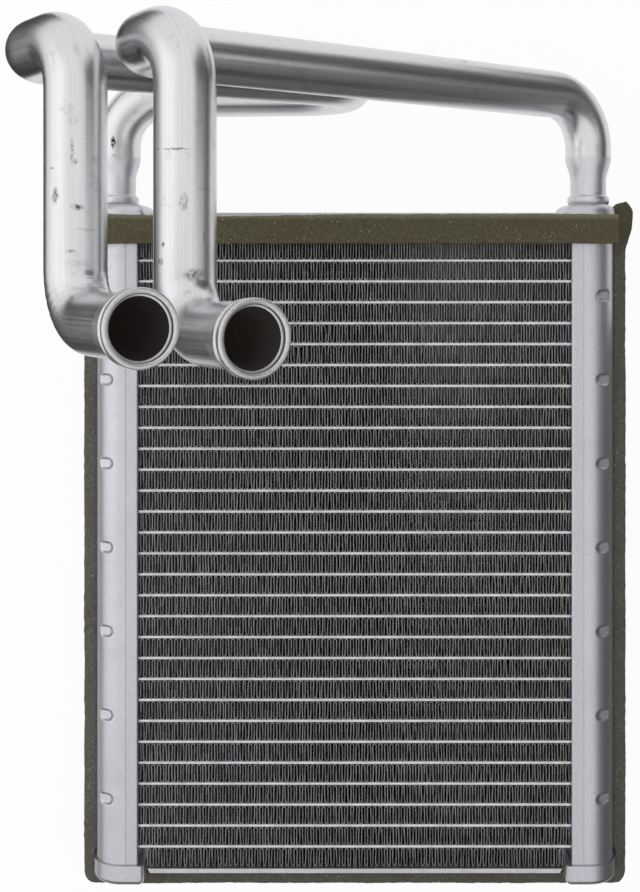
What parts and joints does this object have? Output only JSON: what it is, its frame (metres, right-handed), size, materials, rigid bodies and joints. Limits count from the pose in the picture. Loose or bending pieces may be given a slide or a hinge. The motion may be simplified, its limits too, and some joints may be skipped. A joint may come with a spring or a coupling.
{
  "type": "heater core",
  "caption": "Brazed aluminium heater core with D-shaped side headers, two bent pipes that come forward past its front, and foam seals round its edge.",
  "frame": {"origin": "middle of the core's width and of its tubes' height, on the plane that the core lies on: the backs of the caps and of the foam surround", "axes": "+X across the core to the right as seen from the front, +Y along the headers from the bottom caps to the pipes, +Z out of the front face, the way the pipes come forward"},
  "size_m": [0.1943, 0.287, 0.1862],
  "materials": {
    "tube_aluminium": "bright rolled sheet after brazing",
    "fin_aluminium": "thin folded foil, satin",
    "header_aluminium": "matte after brazing, fine grain",
    "pipe_aluminium": "drawn tube, satin with scuffs",
    "foam": "matte olive-brown foam with pale specks"
  },
  "bodies": {
    "root": {"tube_01": "tube_aluminium", "tube_02": "tube_aluminium", "tube_03": "tube_aluminium", "tube_04": "tube_aluminium", "tube_05": "tube_aluminium", "tube_06": "tube_aluminium", "tube_07": "tube_aluminium", "tube_08": "tube_aluminium", "tube_09": "tube_aluminium", "tube_10": "tube_aluminium", "tube_11": "tube_aluminium", "tube_12": "tube_aluminium", "tube_13": "tube_aluminium", "tube_14": "tube_aluminium", "tube_15": "tube_aluminium", "tube_16": "tube_aluminium", "tube_17": "tube_aluminium", "tube_18": "tube_aluminium", "tube_19": "tube_aluminium", "tube_20": "tube_aluminium", "tube_21": "tube_aluminium", "tube_22": "tube_aluminium", "tube_23": "tube_aluminium", "tube_24": "tube_aluminium", "tube_25": "tube_aluminium", "tube_26": "tube_aluminium", "tube_27": "tube_aluminium", "tube_28": "tube_aluminium", "tube_29": "tube_aluminium", "tube_30": "tube_aluminium", "fin_bank_1": "fin_aluminium", "fin_bank_2": "fin_aluminium", "fin_bank_3": "fin_aluminium", "fin_bank_4": "fin_aluminium", "fin_bank_5": "fin_aluminium", "fin_bank_6": "fin_aluminium", "fin_bank_7": "fin_aluminium", "fin_bank_8": "fin_aluminium", "side_plate_bottom": "tube_aluminium", "side_plate_top": "tube_aluminium", "header_plate_left": "header_aluminium", "tank_left": "header_aluminium", "bottom_cap_left": "header_aluminium", "top_cap_left": "header_aluminium", "header_plate_right": "header_aluminium", "tank_right": "header_aluminium", "bottom_cap_right": "header_aluminium", "top_cap_right": "header_aluminium", "front_pipe": "pipe_aluminium", "rear_pipe": "pipe_aluminium", "foam_surround": "foam", "foam_top_strip": "foam"}
  },
  "joints": []
}
